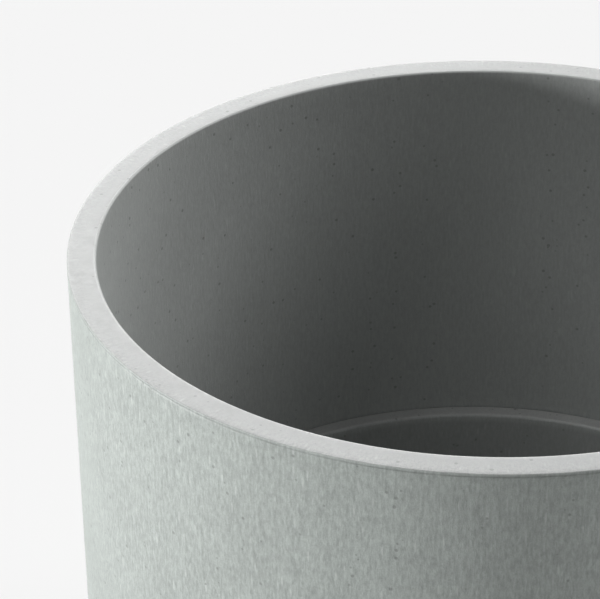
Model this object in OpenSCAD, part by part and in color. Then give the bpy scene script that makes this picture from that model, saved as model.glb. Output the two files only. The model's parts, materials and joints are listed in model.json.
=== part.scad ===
// Self-watering planter: a thick-walled cylindrical pot of stone and wood-fibre composite,
// with a drop-in insert that carries the soil above a water reservoir.
// Sizes are in millimetres. +Z is up. The origin is on the standing surface, under the pot's centre.
// The filling tube is on the +X side and the overflow on the +Y side.

/* [Pot] */
// Outside diameter of the pot
pot_d = 300; // [280:1:340]
// Height from the standing surface to the rim
pot_h = 270; // [265:1:320]
// Wall thickness at the rim
wall = 10.4; // [9:0.1:12]
// Width of the ledge that carries the insert
ledge_w = 3.6; // [3:0.1:5]
// Height of the reservoir floor
floor_z = 14; // [12:0.5:18]

/* [Insert] */
// Depth from the rim to the top of the insert's flange
insert_depth = 157.5; // [150:0.5:160]
// Visible width of the insert's flange
flange_w = 6.8; // [6:0.1:8]
// Depth from the flange to the floor of the tray
tray_depth = 30.5; // [26:0.5:32]
// Thickness of the tray's walls and floor
sheet = 3; // [2.5:0.1:3.5]
// Diameter of a drainage hole
drain_d = 6; // [4:0.5:7]

/* [Wicking baskets] */
// Distance from the pot's centre to a basket's centre
basket_offset = 72; // [68:1:76]
// Inside diameter of a basket at its mouth
basket_d = 49.2; // [44:0.1:50]

/* [Filling tube and water gauge] */
// Distance from the pot's centre to both tubes
tube_offset = 102; // [98:1:104]
// Outside diameter of the filling tube
fill_d = 32; // [28:1:32]
// Depth from the rim to the mouth of the filling tube
fill_depth = 34; // [28:1:50]
// Outside diameter of the gauge tube
gauge_d = 22; // [20:1:24]
// Travel of the float from empty to full
float_travel = 30; // [24:1:34]

/* [Overflow] */
// Height of the overflow's centre
overflow_z = 60; // [50:1:60]
// Bore of the overflow fitting
overflow_d = 13; // [11:0.5:14]

/* [Hidden] */
$fn = 96;
round_fn = 180;
small_fn = 32;
// A cut runs past a face by this much, and joined shapes bite this deep
past = 1;
// Long enough to cut right through any small part
through = 40;

// Colours
composite = [0.70, 0.72, 0.70];
dark_plastic = [0.20, 0.21, 0.21];
soft_rubber = [0.09, 0.09, 0.09];
clear_plastic = [0.85, 0.90, 0.92, 0.4];
float_foam = [0.92, 0.92, 0.90];
marker_red = [0.78, 0.10, 0.08];
steel = [0.75, 0.76, 0.77];

// Pot
outer_r = pot_d / 2;
inner_r = outer_r - wall;
well_r = inner_r - ledge_w;
foot_z = 2;
recess_z = floor_z - 7;
recess_r = outer_r - 22;
recess_bevel = 3;
base_round = 4;
floor_round = 8;
rim_outer_round = 0.35;
rim_inner_round = 0.9;
groove_top = 0.8;
groove_low = 1.6;
groove_depth = 0.55;
groove_flat = 0.35;

// Foot pads
pad_r = 8;
pad_h = 4;
pad_gap = 0.1;
pad_ring_r = (recess_r + outer_r - base_round) / 2;
pad_count = 4;

// Insert tray
flange_z = pot_h - insert_depth;
ledge_z = flange_z - sheet;
flange_gap = 0.3;
flange_r = inner_r - flange_gap;
bowl_top_r = flange_r - flange_w;
bowl_low_r = bowl_top_r - 2;
bowl_round = 6;
flange_outer_round = 0.7;
flange_inner_round = 1.4;
tray_z = flange_z - tray_depth;
tray_under_z = tray_z - sheet;
rib_h = 6;
rib_w = 3;
rib_in = 16;
rib_gap = 1;
rib_clear = 0.3;
tab_angles = [135, 315];
tab_r = bowl_low_r - 12;
tab_t = 3;
tab_l = 42;
tab_h = 22;
tab_round = 8;
tab_slot_l = 28;
tab_slot_h = 12;
tab_slot_z = 11;
socket_h = 8;
socket_wall = 2.8;
cage_socket_wall = 2.6;
ring_pitch = 15;
first_ring_r = 12;
ring_count = 8;
drain_spacing = 21;
drain_gap = 1.5;

// Support posts
post_r = 9;
post_bore_r = 6.1;
post_offset = 112;
post_gap = 0.2;
post_slot_w = 4;
post_slot_h = 8;
spigot_r = 6;
spigot_h = 8;
corner_angles = [45, 135, 225, 315];

// Wicking baskets
basket_angles = [90, 180, 270];
basket_wall = 2;
basket_top_r = basket_d / 2 + basket_wall;
basket_low_r = basket_top_r - 6.6;
basket_lip_r = basket_top_r + 4.4;
basket_lip_t = 2;
basket_hole_gap = 0.3;
basket_low_z = floor_z + 1.2;
basket_slots = 12;
slot_w = 3;
slot_top = 14;
basket_drain_d = 5;
basket_drain_ring = 10.5;

// Filling tube, its collar and its cap, in the tube's own frame: +X points to the pot's wall
fill_r = fill_d / 2;
fill_bore_r = fill_r - 2.4;
fill_top_z = pot_h - fill_depth;
fill_low_z = floor_z + 8;
fill_bead_r = fill_r + 2.4;
fill_bead_h = 3;
notch_w = 12;
notch_h = 10;
collar_h = 12;
collar_r = fill_r + 3.2;
slip = 0.1;
hinge_x = fill_r + 7;
hinge_z = fill_top_z + 2;
hinge_pin_r = 1.5;
hinge_eye_r = 4;
hinge_base_h = 6;
pin_gap = 0.05;
pin_end = 0.5;
ear_in = 5;
ear_w = 4;
ear_h = 10;
cap_t = 3;
cap_lift = 0.3;
cap_cut_x = fill_r - 2;
skirt_r = fill_bore_r - 1.1;
skirt_h = 5;
cap_tab_w = 12;
cap_tab_l = 7;
cap_wall = 2;
knuckle_r = hinge_eye_r - 0.6;
knuckle_w = 2 * ear_in - 1;
knuckle_arm = 6;
knuckle_pin_gap = 0.08;

// Water gauge
gauge_angle = 24;
gauge_r = gauge_d / 2;
gauge_bore_r = gauge_r - 2;
gauge_top_z = pot_h - 70;
guide_plug_h = 10;
guide_flange_h = 2;
guide_spigot_h = 5;
guide_fit = 0.05;
guide_bore_r = 2;
glass_bore_r = gauge_r - 2.4;
glass_top_z = pot_h - 8;
level_ring_w = 0.5;
level_ring_h = 1.2;
cage_r = 15;
cage_bore_r = 13;
cage_low_z = basket_low_z;
cage_floor = 2;
cage_clear = 2;
cage_slot_w = 5;
cage_slot_low = 5;
cage_slot_top = 13;
cage_drain_d = 4;
cage_drain_ring = 7;
float_r = 11.5;
float_h = 22;
float_gap = 0.3;
float_z = cage_low_z + cage_floor + float_gap;
rod_r = 1.5;
rod_seat = 9;
rod_low_z = float_z + float_h - rod_seat;
marker_r = 6;
marker_h = 14;
marker_gap = 2;
marker_z = gauge_top_z + guide_flange_h + guide_spigot_h + marker_gap;
marker_seat = 8;
rod_fit = 0.04;

// Bracket between the tubes
bracket_z = gauge_top_z - 24;
bracket_h = 9;
bracket_wall = 2.6;
web_w = 8;

// Overflow, along +Y
pocket_y = outer_r - 8;
pocket_r = 17;
boss_y = well_r - 2;
boss_bite = 1;
thread_gap = 0.05;
shank_r = 9;
shank_hole_r = 9.2;
shank_end_y = boss_y - 10;
gasket_t = 1.5;
fitting_flange_r = 15;
fitting_flange_t = 2.5;
fitting_face_y = pocket_y + gasket_t + fitting_flange_t;
nut_af = 27;
nut_t = 6;
overflow_bore_r = overflow_d / 2;
plug_gap = 0.05;
plug_head_r = 10;
plug_head_t = 1.9;
plug_shank_r = overflow_bore_r - 0.7;
plug_shank_l = 15;
grip_w = 3;
grip_l = 13;
grip_t = 1.8;
seal_section_r = 0.9;
seal_fit = 0.03;
seal_groove_gap = 0.05;
seal_r = overflow_bore_r - plug_gap - seal_section_r;
seal_y = fitting_face_y - 9;

// Points of an arc round centre c, from angle a0 to a1
function arc(c, r, a0, a1, n = 6) =
    [for (i = [0:n]) c + r * [cos(a0 + (a1 - a0) * i / n), sin(a0 + (a1 - a0) * i / n)]];

function polar(r, a) = [r * cos(a), r * sin(a)];

// Everything that stands in the tray's floor, as [x, y, clear radius]
fill_xy = [tube_offset, 0];
gauge_xy = polar(tube_offset, gauge_angle);
tray_fittings = concat(
    [for (a = basket_angles) concat(polar(basket_offset, a), [basket_lip_r])],
    [for (a = corner_angles) concat(polar(post_offset, a), [post_r])],
    [concat(fill_xy, [collar_r]), concat(gauge_xy, [cage_r + cage_clear])]
);

function clear_of_fittings(p) =
    min([for (f = tray_fittings) norm(p - [f[0], f[1]]) - f[2]]) > drain_d / 2 + drain_gap;

// Drainage holes lie on concentric rings, wherever nothing stands and no rib runs
drain_points = [
    for (i = [0:ring_count - 1])
        let (r = first_ring_r + i * ring_pitch, quarter = round(2 * PI * (r + 3) / drain_spacing / 4))
        for (k = [0:4 * quarter - 1])
            let (p = polar(r, (k + 0.5) * 90 / quarter))
            if (r < bowl_low_r - bowl_round - drain_d && clear_of_fittings(p)
                && abs(abs(p[0]) - abs(p[1])) / sqrt(2) > (drain_d + rib_w) / 2 + rib_clear)
                p
];

module at_fill() { translate([fill_xy[0], fill_xy[1], 0]) children(); }

module at_gauge() { translate([gauge_xy[0], gauge_xy[1], 0]) children(); }

// A cylinder along +Y from y0 to y1, at the overflow's height
module along_y(r, y0, y1) {
    translate([0, y0, overflow_z]) rotate([-90, 0, 0]) cylinder(r = r, h = y1 - y0);
}

module tube(r_out, r_in, z0, z1) {
    translate([0, 0, z0]) difference() {
        cylinder(r = r_out, h = z1 - z0);
        translate([0, 0, -past]) cylinder(r = r_in, h = z1 - z0 + 2 * past);
    }
}

// The pot's wall, ledge, well and floor, with a fine parting groove under the rim
module pot_profile() {
    polygon(concat(
        [[0, recess_z], [recess_r - recess_bevel, recess_z], [recess_r, foot_z]],
        arc([outer_r - base_round, foot_z + base_round], base_round, -90, 0),
        [
            [outer_r, pot_h - groove_low],
            [outer_r - groove_depth, pot_h - groove_top - groove_flat],
            [outer_r - groove_depth, pot_h - groove_top]
        ],
        arc([outer_r - rim_outer_round, pot_h - rim_outer_round], rim_outer_round, 0, 90, 3),
        arc([inner_r + rim_inner_round, pot_h - rim_inner_round], rim_inner_round, 90, 180, 4),
        [[inner_r, ledge_z], [well_r, ledge_z]],
        arc([well_r - floor_round, floor_z + floor_round], floor_round, 0, -90),
        [[0, floor_z]]
    ));
}

module planter_pot() {
    color(composite) difference() {
        union() {
            rotate_extrude($fn = round_fn) pot_profile();
            along_y(pocket_r, boss_y, pocket_y - boss_bite);
        }
        along_y(shank_hole_r, boss_y - past, outer_r);
        along_y(pocket_r, pocket_y, outer_r + past);
        for (k = [0:pad_count - 1])
            rotate(k * 360 / pad_count + 45)
                translate([pad_ring_r, 0, -past]) cylinder(r = pad_r, h = pad_h + past);
    }
}

module foot_pads() {
    color(soft_rubber)
        for (k = [0:pad_count - 1])
            rotate(k * 360 / pad_count + 45)
                translate([pad_ring_r, 0, 0]) cylinder(r = pad_r - pad_gap, h = pad_h);
}

// Overflow: flanged threaded fitting in a pocket of the wall, with its gasket, nut and plug
module overflow_fitting() {
    color(dark_plastic) difference() {
        union() {
            along_y(fitting_flange_r, fitting_face_y - fitting_flange_t, fitting_face_y);
            along_y(shank_r, shank_end_y, fitting_face_y - past);
        }
        along_y(overflow_bore_r, shank_end_y - past, fitting_face_y + past);
    }
}

module overflow_gasket() {
    color(soft_rubber) difference() {
        along_y(fitting_flange_r, pocket_y, pocket_y + gasket_t);
        along_y(shank_r + slip, pocket_y - past, pocket_y + gasket_t + past);
    }
}

module overflow_nut() {
    color(dark_plastic) difference() {
        translate([0, boss_y - nut_t, overflow_z]) rotate([-90, 0, 0])
            cylinder(r = nut_af / 2 / cos(30), h = nut_t, $fn = 6);
        along_y(shank_r + thread_gap, boss_y - nut_t - past, boss_y + past);
    }
}

module overflow_plug() {
    head_y = fitting_face_y + plug_gap;
    color(soft_rubber) difference() {
        union() {
            along_y(plug_head_r, head_y, head_y + plug_head_t);
            along_y(plug_shank_r, head_y - plug_shank_l, head_y + past);
            translate([-grip_l / 2, head_y + plug_head_t - past, overflow_z - grip_w / 2])
                cube([grip_l, grip_t + past, grip_w]);
        }
        difference() {
            along_y(plug_shank_r + past, seal_y - seal_section_r, seal_y + seal_section_r);
            along_y(seal_r - seal_section_r - seal_groove_gap, seal_y - through / 2, seal_y + through / 2);
        }
    }
}

module plug_seal() {
    color(soft_rubber)
        translate([0, seal_y, overflow_z]) rotate([-90, 0, 0])
            rotate_extrude() translate([seal_r, 0]) circle(r = seal_section_r - seal_fit, $fn = small_fn);
}

// The insert's shallow bowl: a flange on the pot's ledge, a side wall and a flat floor
module tray_profile() {
    low = [bowl_low_r - bowl_round, tray_z + bowl_round];
    outer_lip = [flange_r - flange_outer_round, flange_z - flange_outer_round];
    inner_lip = [bowl_top_r + flange_inner_round, flange_z - flange_inner_round];
    polygon(concat(
        [[0, tray_under_z]],
        arc(low, bowl_round + sheet, -90, 0),
        [[bowl_top_r + sheet, ledge_z], [flange_r, ledge_z]],
        arc(outer_lip, flange_outer_round, 0, 90, 3),
        arc(inner_lip, flange_inner_round, 90, 180, 4),
        arc(low, bowl_round, 0, -90),
        [[0, tray_z]]
    ));
}

module tray_ribs() {
    for (a = corner_angles)
        rotate(a) translate([rib_in, -rib_w / 2, tray_under_z - rib_h])
            cube([post_offset - post_r - rib_in - rib_gap, rib_w, rib_h + past]);
    tube(rib_in + rib_w, rib_in, tray_under_z - rib_h, tray_under_z + past);
}

// An upright lug with a finger slot, by which the insert is lifted out
module lift_tab() {
    translate([tab_r, 0, tray_z]) difference() {
        union() {
            translate([0, -tab_l / 2, -past]) cube([tab_t, tab_l, tab_h - tab_round + past]);
            translate([0, tab_round - tab_l / 2, 0]) cube([tab_t, tab_l - 2 * tab_round, tab_h]);
            for (s = [-1, 1]) translate([0, s * (tab_l / 2 - tab_round), tab_h - tab_round])
                rotate([0, 90, 0]) cylinder(r = tab_round, h = tab_t);
        }
        translate([-past, (tab_slot_h - tab_slot_l) / 2, tab_slot_z - tab_slot_h / 2])
            cube([tab_t + 2 * past, tab_slot_l - tab_slot_h, tab_slot_h]);
        for (s = [-1, 1]) translate([-past, s * (tab_slot_l - tab_slot_h) / 2, tab_slot_z])
            rotate([0, 90, 0]) cylinder(d = tab_slot_h, h = tab_t + 2 * past);
    }
}

module insert_tray() {
    color(composite) difference() {
        union() {
            rotate_extrude($fn = round_fn) tray_profile();
            tray_ribs();
            for (a = tab_angles) rotate(a) lift_tab();
            for (a = corner_angles) rotate(a) translate([post_offset, 0, tray_under_z - spigot_h])
                cylinder(r = spigot_r, h = spigot_h + past);
            at_fill() translate([0, 0, tray_z - past])
                cylinder(r = fill_r + socket_wall, h = socket_h + past);
            at_gauge() {
                translate([0, 0, tray_z - past]) cylinder(r = gauge_r + socket_wall, h = socket_h + past);
                translate([0, 0, tray_under_z - spigot_h])
                    tube(cage_r + cage_socket_wall, cage_r + slip, 0, spigot_h + past);
            }
        }
        for (a = basket_angles) rotate(a) translate([basket_offset, 0, tray_under_z - past])
            cylinder(r = basket_top_r + basket_hole_gap, h = sheet + 2 * past);
        at_fill() translate([0, 0, tray_under_z - rib_h - past]) cylinder(r = fill_r + slip, h = through);
        at_gauge() {
            translate([0, 0, tray_under_z - past]) cylinder(r = gauge_bore_r, h = through);
            translate([0, 0, tray_z]) cylinder(r = gauge_r + slip, h = through);
        }
        for (p = drain_points)
            translate([p[0], p[1], tray_under_z - past])
                cylinder(d = drain_d, h = sheet + 2 * past, $fn = small_fn);
    }
}

module support_posts() {
    color(dark_plastic)
        for (a = corner_angles) rotate(a) translate([post_offset, 0, 0]) difference() {
            translate([0, 0, floor_z + post_gap])
                cylinder(r = post_r, h = tray_under_z - floor_z - post_gap);
            translate([0, 0, floor_z - past]) cylinder(r = post_bore_r, h = pot_h);
            for (s = [0, 90]) rotate(s) translate([-post_r - past, -post_slot_w / 2, floor_z - past])
                cube([2 * (post_r + past), post_slot_w, post_slot_h + past]);
        }
}

// A slotted cup that hangs through the tray and dips soil into the water
module wicking_basket(angle) {
    cup_h = tray_z - basket_low_z;
    bore_top_r = basket_top_r - basket_wall;
    color(dark_plastic) rotate(angle) translate([basket_offset, 0, basket_low_z]) difference() {
        union() {
            cylinder(r1 = basket_low_r, r2 = basket_top_r, h = cup_h);
            translate([0, 0, cup_h]) cylinder(r = basket_lip_r, h = basket_lip_t);
        }
        translate([0, 0, basket_wall])
            cylinder(r1 = basket_low_r - basket_wall, r2 = bore_top_r, h = cup_h - basket_wall);
        translate([0, 0, cup_h - past]) cylinder(r = bore_top_r, h = basket_lip_t + 2 * past);
        for (k = [0:basket_slots - 1]) rotate((k + 0.5) * 360 / basket_slots)
            translate([basket_low_r / 2, -slot_w / 2, basket_wall])
                cube([basket_low_r, slot_w, cup_h - basket_wall - slot_top]);
        for (k = [0:5]) rotate(k * 60) translate([basket_drain_ring, 0, -past])
            cylinder(d = basket_drain_d, h = basket_wall + 2 * past, $fn = small_fn);
        translate([0, 0, -past]) cylinder(d = basket_drain_d, h = basket_wall + 2 * past, $fn = small_fn);
    }
}

module fill_tube() {
    color(dark_plastic) at_fill() difference() {
        union() {
            tube(fill_r, fill_bore_r, fill_low_z, fill_top_z);
            tube(fill_bead_r, fill_bore_r, tray_z + socket_h, tray_z + socket_h + fill_bead_h);
        }
        for (s = [0, 90]) rotate(s) translate([-fill_r - past, -notch_w / 2, fill_low_z - past])
            cube([fill_d + 2 * past, notch_w, notch_h + past]);
    }
}

// A collar on the tube's mouth, with two ears that hold the cap's hinge pin
module fill_collar() {
    ear_z = fill_top_z - ear_h;
    color(dark_plastic) at_fill() difference() {
        union() {
            tube(collar_r, fill_r + slip, fill_top_z - collar_h, fill_top_z);
            for (s = [-1, 1]) translate([0, s * (ear_in + ear_w / 2), 0]) {
                translate([fill_r + past, -ear_w / 2, ear_z])
                    cube([hinge_x - fill_r - past, ear_w, fill_top_z - ear_z]);
                translate([hinge_x - hinge_eye_r, -ear_w / 2, fill_top_z - hinge_base_h])
                    cube([2 * hinge_eye_r, ear_w, hinge_z - fill_top_z + hinge_base_h]);
                translate([hinge_x, ear_w / 2, hinge_z]) rotate([90, 0, 0])
                    cylinder(r = hinge_eye_r, h = ear_w);
            }
        }
        hinge_bore(hinge_pin_r + pin_gap);
        translate([0, 0, fill_top_z - collar_h - past]) cylinder(r = fill_r + slip, h = through);
    }
}

module hinge_bore(r) {
    translate([hinge_x, 0, hinge_z]) rotate([90, 0, 0])
        cylinder(r = r, h = through, center = true, $fn = small_fn);
}

module cap_hinge_pin() {
    pin_l = 2 * (ear_in + ear_w + pin_end);
    color(steel) at_fill() translate([hinge_x, pin_l / 2, hinge_z])
        rotate([90, 0, 0]) cylinder(r = hinge_pin_r, h = pin_l, $fn = small_fn);
}

// The cap shuts the tube's mouth and swings up towards the wall
module fill_cap() {
    z0 = fill_top_z + cap_lift;
    color(dark_plastic) at_fill() difference() {
        union() {
            intersection() {
                translate([0, 0, z0]) cylinder(r = collar_r, h = cap_t);
                translate([-collar_r, -collar_r, z0]) cube([collar_r + cap_cut_x, 2 * collar_r, cap_t]);
            }
            translate([0, 0, z0 - skirt_h]) cylinder(r = skirt_r, h = skirt_h + past);
            translate([-collar_r - cap_tab_l, -cap_tab_w / 2, z0]) cube([collar_r, cap_tab_w, cap_t]);
            translate([cap_cut_x - knuckle_arm, -knuckle_w / 2, z0])
                cube([hinge_x - cap_cut_x + knuckle_arm, knuckle_w, cap_t]);
            translate([hinge_x, knuckle_w / 2, hinge_z]) rotate([90, 0, 0])
                cylinder(r = knuckle_r, h = knuckle_w);
        }
        translate([0, 0, z0 - skirt_h - past]) cylinder(r = skirt_r - cap_wall, h = skirt_h + past);
        hinge_bore(hinge_pin_r + knuckle_pin_gap);
    }
}

module gauge_tube() {
    color(dark_plastic) at_gauge() tube(gauge_r, gauge_bore_r, tray_z, gauge_top_z);
}

module gauge_guide() {
    color(dark_plastic) at_gauge() difference() {
        union() {
            translate([0, 0, gauge_top_z - guide_plug_h])
                cylinder(r = gauge_bore_r - guide_fit, h = guide_plug_h + past);
            translate([0, 0, gauge_top_z]) cylinder(r = gauge_r, h = guide_flange_h);
            translate([0, 0, gauge_top_z + past])
                cylinder(r = glass_bore_r - guide_fit, h = guide_flange_h + guide_spigot_h - past);
        }
        translate([0, 0, gauge_top_z - guide_plug_h - past]) cylinder(r = guide_bore_r, h = through);
    }
}

// A clear closed tube with a domed top, in which the marker shows the water level between two rings
module sight_glass() {
    z0 = gauge_top_z + guide_flange_h;
    dome_z = glass_top_z - gauge_r;
    marker_mid_z = marker_z + marker_h / 2;
    color(clear_plastic) at_gauge() difference() {
        union() {
            translate([0, 0, z0]) cylinder(r = gauge_r, h = dome_z - z0);
            translate([0, 0, dome_z]) sphere(r = gauge_r);
            for (z = [marker_mid_z, marker_mid_z + float_travel]) translate([0, 0, z])
                cylinder(r = gauge_r + level_ring_w, h = level_ring_h, center = true);
        }
        translate([0, 0, z0 - past]) cylinder(r = glass_bore_r, h = dome_z - z0 + past);
        translate([0, 0, dome_z]) sphere(r = glass_bore_r);
    }
}

// A slotted cage under the tray, round the float
module float_cage() {
    cage_h = tray_under_z - cage_low_z;
    color(dark_plastic) at_gauge() translate([0, 0, cage_low_z]) difference() {
        cylinder(r = cage_r, h = cage_h);
        translate([0, 0, cage_floor]) cylinder(r = cage_bore_r, h = cage_h);
        for (k = [0:2]) rotate(k * 60) translate([-cage_r - past, -cage_slot_w / 2, cage_slot_low])
            cube([2 * (cage_r + past), cage_slot_w, cage_h - cage_slot_low - cage_slot_top]);
        for (k = [0:3]) rotate(k * 90) translate([cage_drain_ring, 0, -past])
            cylinder(d = cage_drain_d, h = cage_floor + 2 * past, $fn = small_fn);
    }
}

module tube_bracket() {
    span = norm(gauge_xy - fill_xy);
    turn = atan2(gauge_xy[1] - fill_xy[1], gauge_xy[0] - fill_xy[0]);
    color(dark_plastic) translate([fill_xy[0], fill_xy[1], bracket_z]) rotate(turn) difference() {
        union() {
            cylinder(r = fill_r + slip + bracket_wall, h = bracket_h);
            translate([span, 0, 0]) cylinder(r = gauge_r + slip + bracket_wall, h = bracket_h);
            translate([fill_r, -web_w / 2, 0]) cube([span - fill_r - gauge_r, web_w, bracket_h]);
        }
        translate([0, 0, -past]) cylinder(r = fill_r + slip, h = bracket_h + 2 * past);
        translate([span, 0, -past]) cylinder(r = gauge_r + slip, h = bracket_h + 2 * past);
    }
}

module gauge_float() {
    color(float_foam) at_gauge() difference() {
        translate([0, 0, float_z]) cylinder(r = float_r, h = float_h);
        translate([0, 0, rod_low_z]) cylinder(r = rod_r + rod_fit, h = rod_seat + past, $fn = small_fn);
    }
}

module float_rod() {
    color(float_foam) at_gauge() translate([0, 0, rod_low_z])
        cylinder(r = rod_r, h = marker_z + marker_seat - rod_low_z, $fn = small_fn);
}

module float_marker() {
    color(marker_red) at_gauge() difference() {
        translate([0, 0, marker_z]) cylinder(r = marker_r, h = marker_h);
        translate([0, 0, marker_z - past])
            cylinder(r = rod_r + rod_fit, h = marker_seat + past, $fn = small_fn);
    }
}

planter_pot();
foot_pads();
overflow_fitting();
overflow_gasket();
overflow_nut();
overflow_plug();
plug_seal();
insert_tray();
support_posts();
wicking_basket(basket_angles[0]);  // wicking_basket_1
wicking_basket(basket_angles[1]);  // wicking_basket_2
wicking_basket(basket_angles[2]);  // wicking_basket_3
fill_tube();
fill_collar();
cap_hinge_pin();
fill_cap();
gauge_tube();
gauge_guide();
sight_glass();
float_cage();
tube_bracket();
gauge_float();
float_rod();
float_marker();
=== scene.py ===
"""Looks of a self-watering planter: procedural materials, detailed meshes, studio light and camera."""

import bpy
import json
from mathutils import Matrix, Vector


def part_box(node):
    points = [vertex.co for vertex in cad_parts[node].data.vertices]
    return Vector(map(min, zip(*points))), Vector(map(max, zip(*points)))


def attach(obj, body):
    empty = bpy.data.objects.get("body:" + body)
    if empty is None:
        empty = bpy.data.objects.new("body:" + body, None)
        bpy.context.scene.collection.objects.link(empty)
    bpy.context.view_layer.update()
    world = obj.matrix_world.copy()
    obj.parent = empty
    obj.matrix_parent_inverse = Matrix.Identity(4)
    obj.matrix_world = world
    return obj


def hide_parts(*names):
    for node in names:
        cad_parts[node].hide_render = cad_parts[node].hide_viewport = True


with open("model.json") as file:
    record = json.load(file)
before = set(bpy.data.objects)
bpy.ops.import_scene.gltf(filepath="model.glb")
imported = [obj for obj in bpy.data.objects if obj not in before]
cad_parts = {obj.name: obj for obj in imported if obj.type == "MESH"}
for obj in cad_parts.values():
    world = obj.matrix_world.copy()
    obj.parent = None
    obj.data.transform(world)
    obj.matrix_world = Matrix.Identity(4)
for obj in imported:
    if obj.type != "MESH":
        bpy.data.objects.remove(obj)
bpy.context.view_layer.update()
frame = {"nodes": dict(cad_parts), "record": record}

import json
import math

import bmesh
import bpy
from mathutils import Matrix, Vector, noise

MM = 0.001
UP = Vector((0, 0, 1))
nodes = frame["nodes"]


# ---------------------------------------------------------------- places taken from the frame

pot_low, pot_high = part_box("planter_pot")
_, tray_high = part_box("insert_tray")
_, pad_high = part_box("foot_pads")
fitting_low, fitting_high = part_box("overflow_fitting")
cap_low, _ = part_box("fill_cap")
collar_low, collar_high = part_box("fill_collar")
tube_low, tube_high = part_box("fill_tube")

RADIUS = (pot_high.x - pot_low.x) / 2
RIM_Z = pot_high.z
FLANGE_Z = tray_high.z
FLANGE_THICK = 3 * MM
WALL_THICK = 10.4 * MM
LEDGE_WIDTH = 3.6 * MM
INNER_RADIUS = RADIUS - WALL_THICK
LEDGE_Z = FLANGE_Z - FLANGE_THICK
BOWL_TOP = FLANGE_Z - 1.2 * MM
WELL_RADIUS = INNER_RADIUS - LEDGE_WIDTH
FLOOR_Z = 14 * MM
OVERFLOW_Z = (fitting_low.z + fitting_high.z) / 2

# The parting groove runs round the wall just under the rim; these are its depths below the rim.
GROOVE_TOP = 0.95 * MM
GROOVE_DEEPEST = 1.1 * MM
GROOVE_LOW = 2.3 * MM
RIM_INNER_ROUND = 0.9 * MM


# ---------------------------------------------------------------- shader helpers

class Shader:
    """A material under construction, with one short call for each kind of node."""

    def __init__(self, name):
        self.material = bpy.data.materials.new(name)
        self.material.use_nodes = True
        self.tree = self.material.node_tree
        self.surface = self.tree.nodes["Principled BSDF"]

    def node(self, kind, inputs=None, **settings):
        made = self.tree.nodes.new(kind)
        for key, value in settings.items():
            setattr(made, key, value)
        for key, value in (inputs or {}).items():
            self.plug(value, made.inputs[key])
        return made

    def plug(self, value, socket):
        if isinstance(value, bpy.types.NodeSocket):
            self.tree.links.new(value, socket)
        else:
            socket.default_value = value

    def set(self, **inputs):
        for key, value in inputs.items():
            self.plug(value, self.surface.inputs[key.replace("_", " ")])

    def math(self, operation, a, b=0.0, clamp=False):
        return self.node("ShaderNodeMath", {0: a, 1: b}, operation=operation, use_clamp=clamp).outputs[0]

    def vector(self, operation, a, b=(0, 0, 0)):
        return self.node("ShaderNodeVectorMath", {0: a, 1: b}, operation=operation).outputs[0]

    def separate(self, vector):
        return self.node("ShaderNodeSeparateXYZ", {0: vector}).outputs

    def combine(self, x, y, z):
        return self.node("ShaderNodeCombineXYZ", {0: x, 1: y, 2: z}).outputs[0]

    def noise(self, vector, scale=1.0, detail=3.0, roughness=0.5, distortion=0.0):
        made = self.node("ShaderNodeTexNoise", {
            "Vector": vector, "Scale": scale, "Detail": detail,
            "Roughness": roughness, "Distortion": distortion})
        return made.outputs[0]

    def cells(self, vector, scale=1.0):
        """Distance to the nearest scattered point, and that point's random colour."""
        made = self.node("ShaderNodeTexVoronoi", {"Vector": vector, "Scale": scale})
        return made.outputs["Distance"], made.outputs["Color"]

    def remap(self, value, low, high, to_low=0.0, to_high=1.0):
        made = self.node("ShaderNodeMapRange", {
            "Value": value, "From Min": low, "From Max": high, "To Min": to_low, "To Max": to_high},
            interpolation_type="SMOOTHSTEP")
        return made.outputs[0]

    def mix(self, factor, a, b):
        made = self.node("ShaderNodeMix", data_type="RGBA")
        for value, socket in zip((factor, a, b), (made.inputs[0], made.inputs[6], made.inputs[7])):
            self.plug(value, socket)
        return made.outputs[2]

    def mix_vector(self, factor, a, b):
        made = self.node("ShaderNodeMix", data_type="VECTOR")
        for value, socket in zip((factor, a, b), (made.inputs[0], made.inputs[4], made.inputs[5])):
            self.plug(value, socket)
        return made.outputs[1]

    def swing(self, noise_value, amount):
        """A noise value turned into a smooth swing between minus and plus the amount."""
        return self.remap(noise_value, 0.3, 0.7, -amount, amount)

    def inverse(self, value):
        return self.math("SUBTRACT", 1.0, value)

    def scaled(self, vector, factor):
        """A vector or a colour, multiplied by one number."""
        return self.node("ShaderNodeVectorMath", {0: vector, "Scale": factor}, operation="SCALE").outputs[0]

    def bump(self, height, distance, strength=1.0):
        made = self.node("ShaderNodeBump", {"Height": height, "Distance": distance, "Strength": strength})
        self.plug(made.outputs[0], self.surface.inputs["Normal"])

    def place_mm(self):
        """The point on the object, in millimetres."""
        return self.scaled(self.node("ShaderNodeTexCoord").outputs["Object"], 1 / MM)


# ---------------------------------------------------------------- materials

def grey(value):
    return (value, value, value, 1)


# The level faces inside the pot are painted paler than the rim's top, as painted light on the shaded ring.
TRAY_LEVEL_PAINTED_LIGHT_COLOUR = (0.305, 0.311, 0.306, 1)
RIM_COLOUR = (0.243, 0.2495, 0.2455, 1)
INSIDE_COLOUR = (0.280, 0.291, 0.284, 1)
OUTSIDE_COLOUR = (0.252, 0.275, 0.260, 1)
FIBRE_COLOUR = (0.46, 0.48, 0.465, 1)
# Colour of the dark specks, also used to paint shade into the parting groove.
SPECK_AND_SHADE_COLOUR = (0.09, 0.095, 0.09, 1)
# Pale colour of the painted highlight along the rim's inner and outer edges.
PAINTED_HIGHLIGHT_COLOUR = (0.60, 0.61, 0.60, 1)


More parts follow.
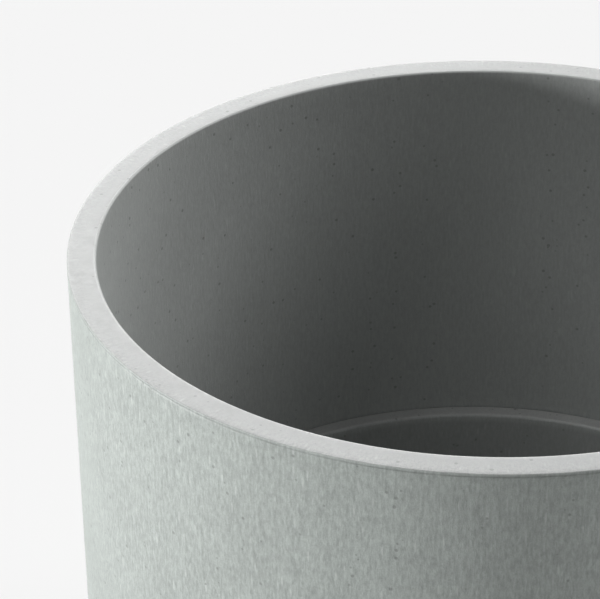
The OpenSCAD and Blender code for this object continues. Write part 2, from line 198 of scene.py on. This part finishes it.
def composite():
    """Recycled plastic with stone powder and wood fibre: upright grain, pale flecks and dark specks."""
    s = Shader("composite")
    place = s.place_mm()
    x, y, z = s.separate(place)

    # On walls the fibres lie upright. On level faces they lie across the ring, from inside to outside.
    flat = s.combine(x, y, 0.0)
    outward = s.vector("NORMALIZE", flat)
    reach = s.node("ShaderNodeVectorMath", {0: flat}, operation="LENGTH").outputs["Value"]
    facing = s.separate(s.node("ShaderNodeNewGeometry").outputs["Normal"])[2]
    level = s.remap(s.math("ABSOLUTE", facing), 0.6, 0.8)
    wall_grain = s.combine(x, y, s.math("MULTIPLY", z, 0.2))
    wx, wy, _ = s.separate(s.scaled(outward, RADIUS / MM))
    rim_grain = s.combine(wx, wy, s.math("MULTIPLY", reach, 0.35))
    grain_place = s.mix_vector(level, wall_grain, rim_grain)

    mottle = s.noise(place, 1 / 45, 3, 0.55)
    blotch = s.noise(s.combine(x, y, s.math("MULTIPLY", z, 0.5)), 1 / 1.2, 4, 0.65, 0.4)
    grain = s.noise(grain_place, 1 / 0.9, 3, 0.6)
    fine = s.noise(place, 1 / 0.45, 2, 0.6)

    fibre_gap, fibre_random = s.cells(grain_place, 1 / 1.5)
    fibre_size = s.remap(s.separate(fibre_random)[0], 0.6, 1.0, 0.03, 0.34)
    fibre = s.inverse(s.remap(s.math("DIVIDE", fibre_gap, fibre_size), 0.3, 1.3))

    speck_gap, speck_random = s.cells(place, 1 / 3.2)
    speck_size = s.remap(s.separate(speck_random)[1], 0.5, 1.0, -0.06, 0.2)
    speck = s.inverse(s.remap(s.math("SUBTRACT", speck_gap, speck_size), -0.06, 0.06))

    scuff_gap, _ = s.cells(s.combine(x, y, s.math("MULTIPLY", z, 0.09)), 1 / 4)
    scuff = s.inverse(s.remap(scuff_gap, 0.01, 0.05))

    on_pot = s.math("GREATER_THAN", reach, INNER_RADIUS / MM - 0.15)
    # The inside was moulded against a smooth core, so its pattern is fainter than the outside's.
    outside = s.remap(reach, INNER_RADIUS / MM + 1, RADIUS / MM - 1)
    strength = s.math("MULTIPLY", s.remap(outside, 0, 1, 0.5, 1.2), s.remap(level, 0, 1, 1.0, 0.8))
    uneven = s.math("ADD", s.swing(mottle, 0.03), s.remap(blotch, 0.32, 0.68, -0.09, 0.09))
    uneven = s.math("ADD", uneven, s.swing(grain, 0.10))
    uneven = s.math("ADD", uneven, s.swing(fine, 0.05))
    tone = s.math("ADD", 1.0, s.math("MULTIPLY", uneven, strength))
    # Painted shade: the insert's bowl, below its flange, is a little darker than the rest.
    bowl_painted_shade = s.remap(z, BOWL_TOP / MM - 3, BOWL_TOP / MM, 0.80, 1.0)
    tone = s.math("MULTIPLY", tone, s.math("MAXIMUM", bowl_painted_shade, on_pot))
    # Painted light: level faces inside the pot get a paler colour than the rim's top.
    level_colour = s.mix(on_pot, TRAY_LEVEL_PAINTED_LIGHT_COLOUR, RIM_COLOUR)
    wall_colour = s.mix(outside, INSIDE_COLOUR, OUTSIDE_COLOUR)
    base = s.scaled(s.mix(level, wall_colour, level_colour), tone)
    fleck = s.math("MAXIMUM", s.math("MULTIPLY", fibre, 0.26), s.math("MULTIPLY", scuff, 0.26))
    with_fibre = s.mix(s.math("MULTIPLY", fleck, strength), base, FIBRE_COLOUR)
    dotted = s.mix(s.math("MULTIPLY", speck, 0.5), with_fibre, SPECK_AND_SHADE_COLOUR)

    # Painted highlights make the rim's edges a little paler, and painted shade darkens the parting groove.
    inner_edge = (INNER_RADIUS + RIM_INNER_ROUND) / MM
    edge = s.inverse(s.remap(reach, inner_edge - 0.1, inner_edge + 0.3))
    edge = s.math("MULTIPLY", edge, s.remap(z, RIM_Z / MM - 0.7, RIM_Z / MM - 0.3))
    crest = s.remap(reach, RADIUS / MM - 0.9, RADIUS / MM - 0.5)
    crest = s.math("MULTIPLY", crest, s.remap(z, RIM_Z / MM - 0.5, RIM_Z / MM - 0.3))
    painted_highlight = s.math("MAXIMUM", s.math("MULTIPLY", edge, 0.25), s.math("MULTIPLY", crest, 0.12))
    # Painted shade: the parting groove is darkened towards the dark speck colour, unevenly along its
    # length.
    groove_z = (RIM_Z - GROOVE_DEEPEST) / MM
    from_groove = s.math("ABSOLUTE", s.math("SUBTRACT", z, groove_z))
    painted_groove_shade = s.inverse(s.remap(from_groove, 0.1, 0.45))
    painted_groove_shade = s.math("MULTIPLY", painted_groove_shade, s.math("GREATER_THAN", reach, RADIUS / MM - 1))
    painted_groove_shade = s.math("MULTIPLY", painted_groove_shade, s.remap(s.noise(place, 1 / 6, 3, 0.6), 0.3, 0.7, 0.22, 0.5))
    dotted = s.mix(painted_groove_shade, dotted, SPECK_AND_SHADE_COLOUR)
    s.set(Base_Color=s.mix(painted_highlight, dotted, PAINTED_HIGHLIGHT_COLOUR))

    s.set(Roughness=s.remap(grain, 0.3, 0.7, 0.48, 0.60), Specular_IOR_Level=0.5)
    height = s.math("ADD", s.math("MULTIPLY", grain, 0.7), s.math("MULTIPLY", fibre, 0.2))
    height = s.math("ADD", height, s.math("MULTIPLY", blotch, 0.7))
    height = s.math("ADD", height, s.math("MULTIPLY", fine, 0.5))
    height = s.math("SUBTRACT", height, s.math("MULTIPLY", speck, 0.5))
    height = s.math("MULTIPLY", height, s.remap(level, 0, 1, 1.0, 0.45))
    s.bump(height, 0.08 * MM)
    return s.material


def moulded_plastic(name, colour, roughness=0.42):
    """Injection-moulded plastic with a fine spark-eroded texture and faint flow marks."""
    s = Shader(name)
    place = s.place_mm()
    flow = s.noise(place, 1 / 30, 3, 0.6, 0.8)
    grit = s.noise(place, 1 / 0.35, 2, 0.6)
    dust = s.remap(s.noise(place, 1 / 12, 5, 0.7), 0.55, 0.75)
    base = s.scaled(colour, s.remap(flow, 0.3, 0.7, 0.88, 1.14))
    s.set(Base_Color=s.mix(s.math("MULTIPLY", dust, 0.06), base, grey(0.5)))
    s.set(Roughness=s.remap(flow, 0.3, 0.7, roughness - 0.05, roughness + 0.08))
    s.bump(grit, 0.03 * MM, 0.7)
    return s.material


def soft_rubber():
    s = Shader("soft_rubber")
    place = s.place_mm()
    bloom = s.noise(place, 1 / 7, 4, 0.65)
    s.set(Base_Color=s.mix(s.remap(bloom, 0.4, 0.8, 0.0, 0.5), grey(0.018), grey(0.05)))
    s.set(Roughness=s.remap(bloom, 0.3, 0.7, 0.62, 0.8))
    s.bump(s.noise(place, 1 / 0.5, 3, 0.6), 0.04 * MM, 0.6)
    return s.material


def clear_plastic():
    s = Shader("clear_plastic")
    x, y, z = s.separate(s.place_mm())
    scratches = s.noise(s.combine(x, y, s.math("MULTIPLY", z, 0.08)), 1 / 0.8, 3, 0.6)
    s.set(Base_Color=(0.93, 0.96, 0.96, 1), Transmission_Weight=1.0, IOR=1.49)
    s.set(Roughness=s.remap(scratches, 0.55, 0.75, 0.02, 0.14))
    return s.material


def closed_cell_foam():
    s = Shader("closed_cell_foam")
    place = s.place_mm()
    gap, _ = s.cells(place, 1 / 0.9)
    stain = s.noise(place, 1 / 8, 4, 0.6)
    clean, yellowed = (0.80, 0.80, 0.76, 1), (0.62, 0.60, 0.52, 1)
    s.set(Base_Color=s.mix(s.remap(stain, 0.45, 0.75, 0.0, 0.6), clean, yellowed))
    s.set(Roughness=s.remap(stain, 0.3, 0.7, 0.66, 0.8))
    s.bump(gap, 0.15 * MM, 0.8)
    return s.material


def drawn_steel():
    s = Shader("drawn_steel")
    x, y, z = s.separate(s.place_mm())
    lines = s.noise(s.combine(x, s.math("MULTIPLY", y, 0.03), z), 1 / 0.12, 3, 0.6)
    s.set(Base_Color=s.mix(lines, grey(0.46), grey(0.62)), Metallic=1.0)
    s.set(Roughness=s.remap(lines, 0.3, 0.7, 0.24, 0.38))
    s.bump(lines, 0.01 * MM, 0.5)
    return s.material


MATERIALS = {
    "composite": composite(),
    "dark_plastic": moulded_plastic("dark_plastic", (0.045, 0.047, 0.047)),
    "soft_rubber": soft_rubber(),
    "clear_plastic": clear_plastic(),
    "float_foam": closed_cell_foam(),
    "white_plastic": moulded_plastic("white_plastic", (0.72, 0.72, 0.70), 0.3),
    "marker_red": moulded_plastic("marker_red", (0.52, 0.022, 0.016), 0.22),
    "stainless_steel": drawn_steel(),
}


def finish_piece(piece, slot, body):
    """Gives a new piece its material, material slot and body."""
    piece.data.materials.clear()
    piece.data.materials.append(MATERIALS[slot])
    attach(piece, body)
    return piece


def mesh_object(name, mesh, smooth_angle=35):
    mesh.polygons.foreach_set("use_smooth", [True] * len(mesh.polygons))
    mesh.set_sharp_from_angle(angle=math.radians(smooth_angle))
    made = bpy.data.objects.new(name, mesh)
    bpy.context.scene.collection.objects.link(made)
    return made


# ---------------------------------------------------------------- turned shapes

def arc(centre_r, centre_z, radius, start, end, steps=6):
    angles = [math.radians(start + (end - start) * i / steps) for i in range(steps + 1)]
    return [(centre_r + radius * math.cos(a), centre_z + radius * math.sin(a)) for a in angles]


def subdivided(outline, longest):
    """The same outline with no straight stretch longer than that."""
    result = [outline[0]]
    for (r0, z0), (r1, z1) in zip(outline, outline[1:]):
        parts = max(1, math.ceil(math.hypot(r1 - r0, z1 - z0) / longest))
        result += [(r0 + (r1 - r0) * i / parts, z0 + (z1 - z0) * i / parts) for i in range(1, parts + 1)]
    return result


def turned(name, outline, segments, shift=None, closed=False):
    """A solid turned from an outline (r, z), which starts and ends on the axis or, closed, rings a bore."""
    mesh = bpy.data.meshes.new(name)
    shape = bmesh.new()
    rings = []
    for r, z in outline:
        if r < 1e-7:
            rings.append([shape.verts.new((0, 0, z))])
            continue
        ring = []
        for k in range(segments):
            angle = 2 * math.pi * k / segments
            dr, dz = shift(r, z, angle) if shift else (0.0, 0.0)
            reach = r + dr
            ring.append(shape.verts.new((reach * math.cos(angle), reach * math.sin(angle), z + dz)))
        rings.append(ring)
    for low, high in zip(rings, rings[1:] + (rings[:1] if closed else [])):
        for k in range(segments):
            n = (k + 1) % segments
            corners = [low[k % len(low)], low[n % len(low)], high[n % len(high)], high[k % len(high)]]
            corners = [v for i, v in enumerate(corners) if v not in corners[:i]]
            if len(corners) > 2:
                shape.faces.new(corners)
    bmesh.ops.recalc_face_normals(shape, faces=shape.faces)
    shape.to_mesh(mesh)
    shape.free()
    return mesh_object(name, mesh)


def cut(piece, cutters, operation="DIFFERENCE"):
    """Cuts the piece with each cutter, or joins them, and throws the cutters away."""
    for cutter in cutters:
        modifier = piece.modifiers.new("cut", "BOOLEAN")
        modifier.operation = operation
        modifier.solver = "EXACT"
        modifier.object = cutter
    evaluated = piece.evaluated_get(bpy.context.evaluated_depsgraph_get())
    mesh = bpy.data.meshes.new_from_object(evaluated)
    piece.modifiers.clear()
    piece.data = mesh
    mesh.set_sharp_from_angle(angle=math.radians(35))
    for cutter in cutters:
        bpy.data.objects.remove(cutter)
    return piece


Z_TO_Y = Matrix.Rotation(-math.pi / 2, 4, "X")


def plain_cylinder(name, radius, low, high, segments):
    return turned(name, [(0, low), (radius, low), (radius, high), (0, high)], segments)


def rod_along_y(name, radius, y0, y1, z):
    """A plain round rod along +Y."""
    made = plain_cylinder(name, radius, y0, y1, 96)
    made.data.transform(Matrix.Translation((0, 0, z)) @ Z_TO_Y)
    return made


# ---------------------------------------------------------------- the pot

GROOVE_DEPTH = 0.11 * MM
RIM_OUTER_ROUND = 0.4 * MM
BASE_ROUND = 4 * MM
FLOOR_ROUND = 8 * MM
FOOT_RECESS_Z = FLOOR_Z - 7 * MM
FOOT_RECESS_RADIUS = RADIUS - 22 * MM
POCKET_RADIUS = 17 * MM
POCKET_DEPTH = 8 * MM
SHANK_HOLE_RADIUS = 9.2 * MM
PAD_RADIUS = 8 * MM
PAD_INSET = 0.1 * MM
WAVE_DEPTH = 0.10 * MM
NICK_DEPTH = 0.10 * MM
EDGE_WAVE = 0.05 * MM


def hand_finish(r, z, angle):
    """Slight unevenness of the moulding: slow waves on the walls, and nicks along the parting groove."""
    around = Vector((math.cos(angle), math.sin(angle), 0))
    slow = noise.noise(around * 2.3 + UP * z * 9)
    dr = -WAVE_DEPTH * (1 + slow) / 2
    dz = 0.0
    below_rim = RIM_Z - z
    if GROOVE_TOP * 0.9 < below_rim < GROOVE_LOW * 1.1 and r > RADIUS - 1.5 * MM:
        nick = noise.noise(around * 60) + 0.6 * noise.noise(around * 170)
        dz = EDGE_WAVE * nick
        dr -= NICK_DEPTH * max(0.0, noise.noise(around * 95 + UP * 5))
    elif below_rim < 0.2 * MM:
        dz = -EDGE_WAVE * (1 + noise.noise(around * 14 + UP * r * 200)) / 2
    return dr, dz


def pot_outline():
    """The pot's half section: foot recess, outer wall, rim, inner wall, ledge, well and floor."""
    foot_z = pot_low.z
    recess_z = FOOT_RECESS_Z
    recess_r = FOOT_RECESS_RADIUS
    outline = [(0, recess_z)] + subdivided([(0.01, recess_z), (recess_r - 4 * MM, recess_z)], 12 * MM)
    outline += arc(recess_r - 3 * MM, recess_z - 1 * MM, 1 * MM, 90, 30, 3)
    outline += [(recess_r, foot_z)]
    outline += arc(RADIUS - BASE_ROUND, foot_z + BASE_ROUND, BASE_ROUND, -90, 0, 8)
    groove_low_z = RIM_Z - GROOVE_LOW
    outline += subdivided([(RADIUS, foot_z + BASE_ROUND), (RADIUS, groove_low_z - 0.3 * MM)], 5 * MM)[1:]
    outline += [(RADIUS - GROOVE_DEPTH * 0.1, groove_low_z + 0.1 * MM)]
    outline += [(RADIUS - GROOVE_DEPTH * 0.6, RIM_Z - GROOVE_DEEPEST - 0.06 * MM)]
    outline += [(RADIUS - GROOVE_DEPTH, RIM_Z - GROOVE_DEEPEST)]
    outline += [(RADIUS - GROOVE_DEPTH * 0.2, RIM_Z - GROOVE_TOP)]
    outline += arc(RADIUS - RIM_OUTER_ROUND, RIM_Z - RIM_OUTER_ROUND, RIM_OUTER_ROUND, 0, 90, 5)
    outline += subdivided(
        [(RADIUS - RIM_OUTER_ROUND, RIM_Z), (INNER_RADIUS + RIM_INNER_ROUND, RIM_Z)], 1.6 * MM)[1:-1]
    outline += arc(INNER_RADIUS + RIM_INNER_ROUND, RIM_Z - RIM_INNER_ROUND, RIM_INNER_ROUND, 90, 180, 6)
    outline += subdivided([(INNER_RADIUS, RIM_Z - RIM_INNER_ROUND), (INNER_RADIUS, LEDGE_Z)], 5 * MM)[1:]
    outline += [(WELL_RADIUS, LEDGE_Z)]
    outline += subdivided([(WELL_RADIUS, LEDGE_Z), (WELL_RADIUS, FLOOR_Z + FLOOR_ROUND)], 8 * MM)[1:-1]
    outline += arc(WELL_RADIUS - FLOOR_ROUND, FLOOR_Z + FLOOR_ROUND, FLOOR_ROUND, 0, -90, 8)
    outline += subdivided([(WELL_RADIUS - FLOOR_ROUND, FLOOR_Z), (0.01, FLOOR_Z)], 12 * MM)[1:]
    return outline + [(0, FLOOR_Z)]


def build_pot():
    pot = turned("pot_shell", pot_outline(), 480, hand_finish)
    boss = rod_along_y("boss", POCKET_RADIUS, WELL_RADIUS - 2 * MM, RADIUS - 9 * MM, OVERFLOW_Z)
    cut(pot, [boss], "UNION")
    cutters = [
        rod_along_y("shank_hole", SHANK_HOLE_RADIUS, WELL_RADIUS - 9 * MM, RADIUS, OVERFLOW_Z),
        rod_along_y("pocket", POCKET_RADIUS, RADIUS - POCKET_DEPTH, RADIUS + 4 * MM, OVERFLOW_Z),
    ]
    ring = (pad_high.x - PAD_RADIUS + PAD_INSET) * math.sqrt(2)
    for k in range(4):
        angle = math.pi / 4 + k * math.pi / 2
        pocket = plain_cylinder("pad_pocket", PAD_RADIUS, -5 * MM, pad_high.z, 48)
        pocket.data.transform(Matrix.Translation((ring * math.cos(angle), ring * math.sin(angle), 0)))
        cutters.append(pocket)
    cut(pot, cutters)
    finish_piece(pot, "composite", "pot")
    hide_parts("planter_pot")


# ---------------------------------------------------------------- overflow and filling cap

BORE_RADIUS = 6.5 * MM
SHANK_RADIUS = 9 * MM
THREAD_DEPTH = 0.7 * MM
THREAD_PITCH = 1.5 * MM
FITTING_FLANGE = 2.5 * MM
FLANGE_EDGE = 0.7 * MM
FACE_STEP = 0.35 * MM
BORE_EDGE = 0.4 * MM


def build_overflow_fitting():
    """Flange with a raised ring, and a shank with thread ridges from under the gasket to its end."""
    flange_r = (fitting_high.x - fitting_low.x) / 2
    face = fitting_high.y
    back = face - FITTING_FLANGE
    valley_r = SHANK_RADIUS - THREAD_DEPTH
    outline = [(BORE_RADIUS, fitting_low.y), (SHANK_RADIUS - 0.9 * MM, fitting_low.y)]
    for k in range(int((back - 1.5 * MM - fitting_low.y) / THREAD_PITCH)):
        y = fitting_low.y + 0.5 * MM + k * THREAD_PITCH
        outline += [(valley_r, y), (SHANK_RADIUS, y + 0.5 * MM)]
        outline += [(SHANK_RADIUS, y + 0.7 * MM), (valley_r, y + 1.2 * MM)]
    outline += [(SHANK_RADIUS, back - 0.4 * MM), (SHANK_RADIUS, back), (flange_r, back)]
    outline += arc(flange_r - FLANGE_EDGE, face - FLANGE_EDGE, FLANGE_EDGE, 0, 90, 4)
    outline += arc(flange_r - 2.2 * MM, face - FACE_STEP, FACE_STEP, 90, 180, 3)
    outline += [(BORE_RADIUS + 3.9 * MM, face - FACE_STEP)]
    outline += arc(BORE_RADIUS + BORE_EDGE, face - FACE_STEP - BORE_EDGE, BORE_EDGE, 90, 180, 3)
    fitting = turned("overflow_flange", outline, 128, closed=True)
    fitting.data.transform(Matrix.Translation((0, 0, OVERFLOW_Z)) @ Z_TO_Y)
    finish_piece(fitting, "dark_plastic", "pot")
    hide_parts("overflow_fitting")


CAP_HEIGHT = 8 * MM
RIDGE_RADIUS = 0.45 * MM


def build_cap_details():
    """A raised ring on the cap's top, and grip ridges on its thumb tab."""
    centre = (tube_low + tube_high) / 2
    top = cap_low.z + CAP_HEIGHT
    ring_r = (collar_high.y - collar_low.y) / 2 - 6.5 * MM
    ring = [(ring_r - 0.9 * MM, top - 0.5 * MM), (ring_r + 0.9 * MM, top - 0.5 * MM)]
    ring += [(ring_r + 0.7 * MM, top + 0.35 * MM), (ring_r - 0.7 * MM, top + 0.35 * MM)]
    raised = turned("cap_ring", ring, 96, closed=True)
    raised.data.transform(Matrix.Translation((centre.x, centre.y, 0)))
    finish_piece(raised, "dark_plastic", "cap")
    half, end = 4 * MM, 4.2 * MM
    for k in range(3):
        outline = [(0, -end), (RIDGE_RADIUS, -half), (RIDGE_RADIUS, half), (0, end)]
        ridge = turned("cap_ridge_%d" % (k + 1), outline, 16)
        place = Matrix.Translation((cap_low.x + (1.6 + 1.7 * k) * MM, centre.y, top))
        ridge.data.transform(place @ Z_TO_Y)
        finish_piece(ridge, "dark_plastic", "cap")


def soften_edges(cad_object, width):
    """Rounds a CAD piece's sharp edges as a mould does, without touching its own mesh."""
    weld = cad_object.modifiers.new("weld", "WELD")
    weld.merge_threshold = 0.003 * MM
    bevel = cad_object.modifiers.new("edges", "BEVEL")
    bevel.width = width
    bevel.segments = 2
    bevel.limit_method = "ANGLE"
    bevel.angle_limit = math.radians(40)
    bevel.use_clamp_overlap = False
    shade = cad_object.modifiers.new("shade", "WEIGHTED_NORMAL")
    shade.weight = 100


# Widths of the rounded edges in millimetres; any piece not named here has the plain width.
PLAIN_EDGE = 0.25
EDGE_WIDTHS = {
    "fill_cap": 0.5, "fill_collar": 0.4, "overflow_plug": 0.4, "overflow_nut": 0.5, "foot_pads": 0.6,
    "gauge_float": 0.6, "float_marker": 0.3, "tube_bracket": 0.4, "insert_tray": 0.3,
}
# Two of these are replaced by detailed meshes, and the other two are round already.
AS_MADE = ("planter_pot", "overflow_fitting", "sight_glass", "plug_seal")

build_pot()
build_overflow_fitting()
build_cap_details()

for row in frame["record"]["subparts"]:
    cad_object = nodes[row["node"]]
    cad_object.data.materials.clear()
    cad_object.data.materials.append(MATERIALS[row["material_slot"]])
    if row["node"] not in AS_MADE:
        soften_edges(cad_object, EDGE_WIDTHS.get(row["node"], PLAIN_EDGE) * MM)


# ---------------------------------------------------------------- floor, light and camera

FLOOR_GREY = 0.19
FLOOR_GLOW = 0.636
FLOOR_HALF_SIDE = 6.0
SKY_FILL = 0.03
BACKDROP_GREY = 0.905


def pale_floor():
    s = Shader("studio_floor")
    s.set(Base_Color=grey(FLOOR_GREY), Roughness=0.9, Specular_IOR_Level=0.0)
    s.set(Emission_Color=grey(1.0), Emission_Strength=FLOOR_GLOW)
    mesh = bpy.data.meshes.new("studio_floor")
    half = FLOOR_HALF_SIDE
    corners = [(-half, -half, 0), (half, -half, 0), (half, half, 0), (-half, half, 0)]
    mesh.from_pydata(corners, [], [(0, 1, 2, 3)])
    floor = bpy.data.objects.new("studio_floor", mesh)
    bpy.context.scene.collection.objects.link(floor)
    floor.data.materials.append(s.material)
    floor.location.z = -0.1 * MM


def sun(name, azimuth, elevation, strength, softness):
    """A soft distant lamp. Angles are in degrees, and azimuth is measured from +X towards +Y."""
    lamp = bpy.data.lights.new(name, "SUN")
    lamp.energy = strength
    lamp.angle = math.radians(softness)
    made = bpy.data.objects.new(name, lamp)
    bpy.context.scene.collection.objects.link(made)
    a, e = math.radians(azimuth), math.radians(elevation)
    towards = Vector((math.cos(a) * math.cos(e), math.sin(a) * math.cos(e), math.sin(e)))
    made.rotation_euler = towards.to_track_quat("Z", "Y").to_euler()


def studio_sky():
    """Dim soft fill from all round, and an even pale backdrop behind the floor's edge."""
    world = bpy.data.worlds.new("studio")
    world.use_nodes = True
    bpy.context.scene.world = world
    tree = world.node_tree
    fill = tree.nodes["Background"]
    fill.inputs["Color"].default_value = grey(1.0)
    fill.inputs["Strength"].default_value = SKY_FILL
    backdrop = tree.nodes.new("ShaderNodeBackground")
    backdrop.inputs["Color"].default_value = grey(BACKDROP_GREY)
    path = tree.nodes.new("ShaderNodeLightPath")
    choose = tree.nodes.new("ShaderNodeMixShader")
    tree.links.new(path.outputs["Is Camera Ray"], choose.inputs[0])
    tree.links.new(fill.outputs[0], choose.inputs[1])
    tree.links.new(backdrop.outputs[0], choose.inputs[2])
    tree.links.new(choose.outputs[0], tree.nodes["World Output"].inputs[0])


CAMERA_YAW = math.radians(-4.48)
CAMERA_PITCH = math.radians(30.04)
CAMERA_ROLL = math.radians(-0.93)
CAMERA_LENS = 166.67
CAMERA_BACK = 5.7778 * RADIUS
CAMERA_ABOVE_RIM = 3.1771 * RADIUS


def photo_camera():
    """The photograph's view: a long lens looking down into the pot, turned and rolled a little left."""
    yaw, pitch, roll = CAMERA_YAW, CAMERA_PITCH, CAMERA_ROLL
    ahead = Vector((math.sin(yaw) * math.cos(pitch), math.cos(yaw) * math.cos(pitch), -math.sin(pitch)))
    level = Vector((math.cos(yaw), -math.sin(yaw), 0))
    above = level.cross(ahead)
    right = level * math.cos(roll) + above * math.sin(roll)
    top = above * math.cos(roll) - level * math.sin(roll)
    data = bpy.data.cameras.new("camera")
    data.sensor_width = 36
    data.lens = CAMERA_LENS
    data.clip_end = 50
    camera = bpy.data.objects.new("camera", data)
    turn = Matrix((right, top, -ahead)).transposed()
    place = Vector((0, -CAMERA_BACK, RIM_Z + CAMERA_ABOVE_RIM))
    camera.matrix_world = Matrix.Translation(place) @ turn.to_4x4()
    bpy.context.scene.collection.objects.link(camera)
    bpy.context.scene.camera = camera


pale_floor()
sun("left_key", 184, 2.5, 5.1, 11)
sun("right_side", 12, 37, 2.25, 36)
sun("right_back", 50, 25, 1.35, 30)
sun("behind", 103, 25, 3.2, 36)
sun("top_left", 205, 47, 0.95, 34)
sun("near_top", 270, 60, 0.29, 30)
studio_sky()
photo_camera()
bpy.context.scene.view_settings.view_transform = "Standard"
